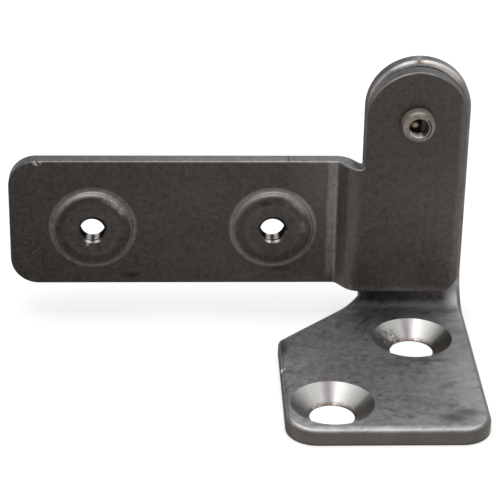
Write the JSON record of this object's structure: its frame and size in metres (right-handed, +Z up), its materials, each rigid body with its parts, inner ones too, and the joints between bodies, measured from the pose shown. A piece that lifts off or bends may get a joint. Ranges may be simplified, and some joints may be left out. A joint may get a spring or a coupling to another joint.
{
  "type": "pivot hinge",
  "caption": "Riveted pivot hinge: a joggled stainless arm with tapped bosses turns against the round-topped tab of a countersunk base bracket.",
  "frame": {"origin": "underside of the base flange, midway between its two screw holes", "axes": "+X along the flange's front edge, away from the arm's leaf; +Y back towards the tabs, along the pivot; +Z up from the mounting surface"},
  "size_m": [0.0709, 0.0451, 0.0424],
  "materials": {
    "bracket_steel": "tumbled stainless sheet, worn and smudged, with bright machined countersinks",
    "arm_steel": "dull mill-finish stainless sheet, slightly warm, with bright rolled edges",
    "rivet_steel": "drawn stainless wire, rolled end",
    "washer_steel": "plain stainless"
  },
  "bodies": {
    "bracket": {"base_bracket": "bracket_steel", "pivot_rivet": "rivet_steel", "spacer_washer": "washer_steel"},
    "arm": {"hinge_arm": "arm_steel"}
  },
  "joints": [
    {"name": "pivot", "type": "hinge", "parent": "bracket", "child": "arm", "pos_m": [0.00715, 0.02105, 0.0337], "axis": [0, 1, 0], "range_deg": [0, 180]}
  ]
}
